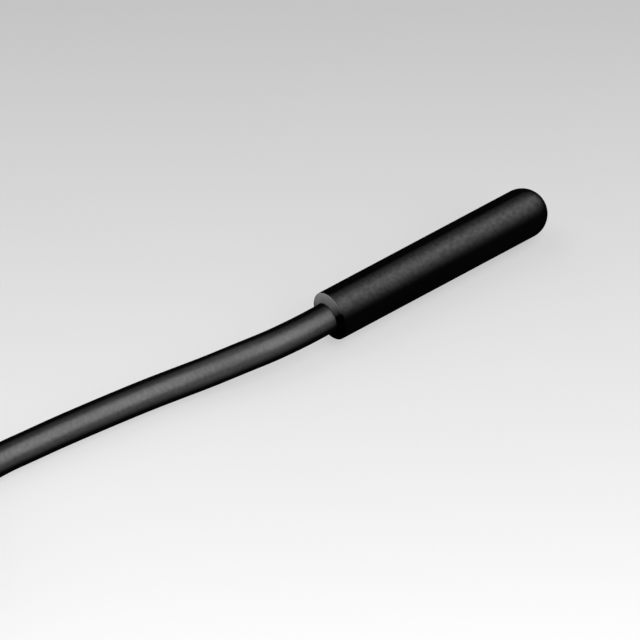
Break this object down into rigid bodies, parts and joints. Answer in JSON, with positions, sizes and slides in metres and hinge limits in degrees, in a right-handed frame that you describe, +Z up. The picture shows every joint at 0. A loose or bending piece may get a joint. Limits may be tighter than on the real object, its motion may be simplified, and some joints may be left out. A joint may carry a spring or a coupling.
{
  "type": "thermistor probe",
  "caption": "Round moulded temperature sensor bulb with a domed tip on a black two-core cable, which is folded into a tied hank with stripped, tinned ends.",
  "frame": {"origin": "on the surface that the probe lies on, under the middle of the bulb", "axes": "+X along the bulb from its cable end towards its domed tip, +Z up from the surface, +Y across"},
  "size_m": [0.1674, 0.0341, 0.017],
  "materials": {
    "mould": "satin moulded elastomer",
    "jacket": "satin extruded elastomer",
    "core_white": "smooth core insulation",
    "core_dark": "smooth core insulation",
    "copper": "bare copper strands",
    "tinned": "tinned copper",
    "shrink": "shrunk sleeve",
    "film": "amber film sleeve",
    "chip": "sintered oxide ceramic",
    "coating": "dipped epoxy",
    "tie": "natural nylon"
  },
  "bodies": {
    "root": {"overmould": "mould", "jacket_end": "jacket", "core_insulation_a": "core_white", "core_insulation_b": "core_dark", "conductor_a": "copper", "conductor_b": "copper", "splice_crimp_a": "tinned", "splice_crimp_b": "tinned", "splice_sleeve_a": "shrink", "splice_sleeve_b": "shrink", "lead_sleeve_a": "film", "lead_sleeve_b": "film", "bead_lead_a": "tinned", "bead_lead_b": "tinned", "thermistor_chip": "chip", "bead_coating": "coating", "cable_tube": "jacket", "cable_hank": "jacket", "hank_tie": "tie", "cable_tail": "jacket", "tail_core_a": "core_white", "tail_core_b": "core_dark", "tinned_end_a": "tinned", "tinned_end_b": "tinned"}
  },
  "joints": []
}
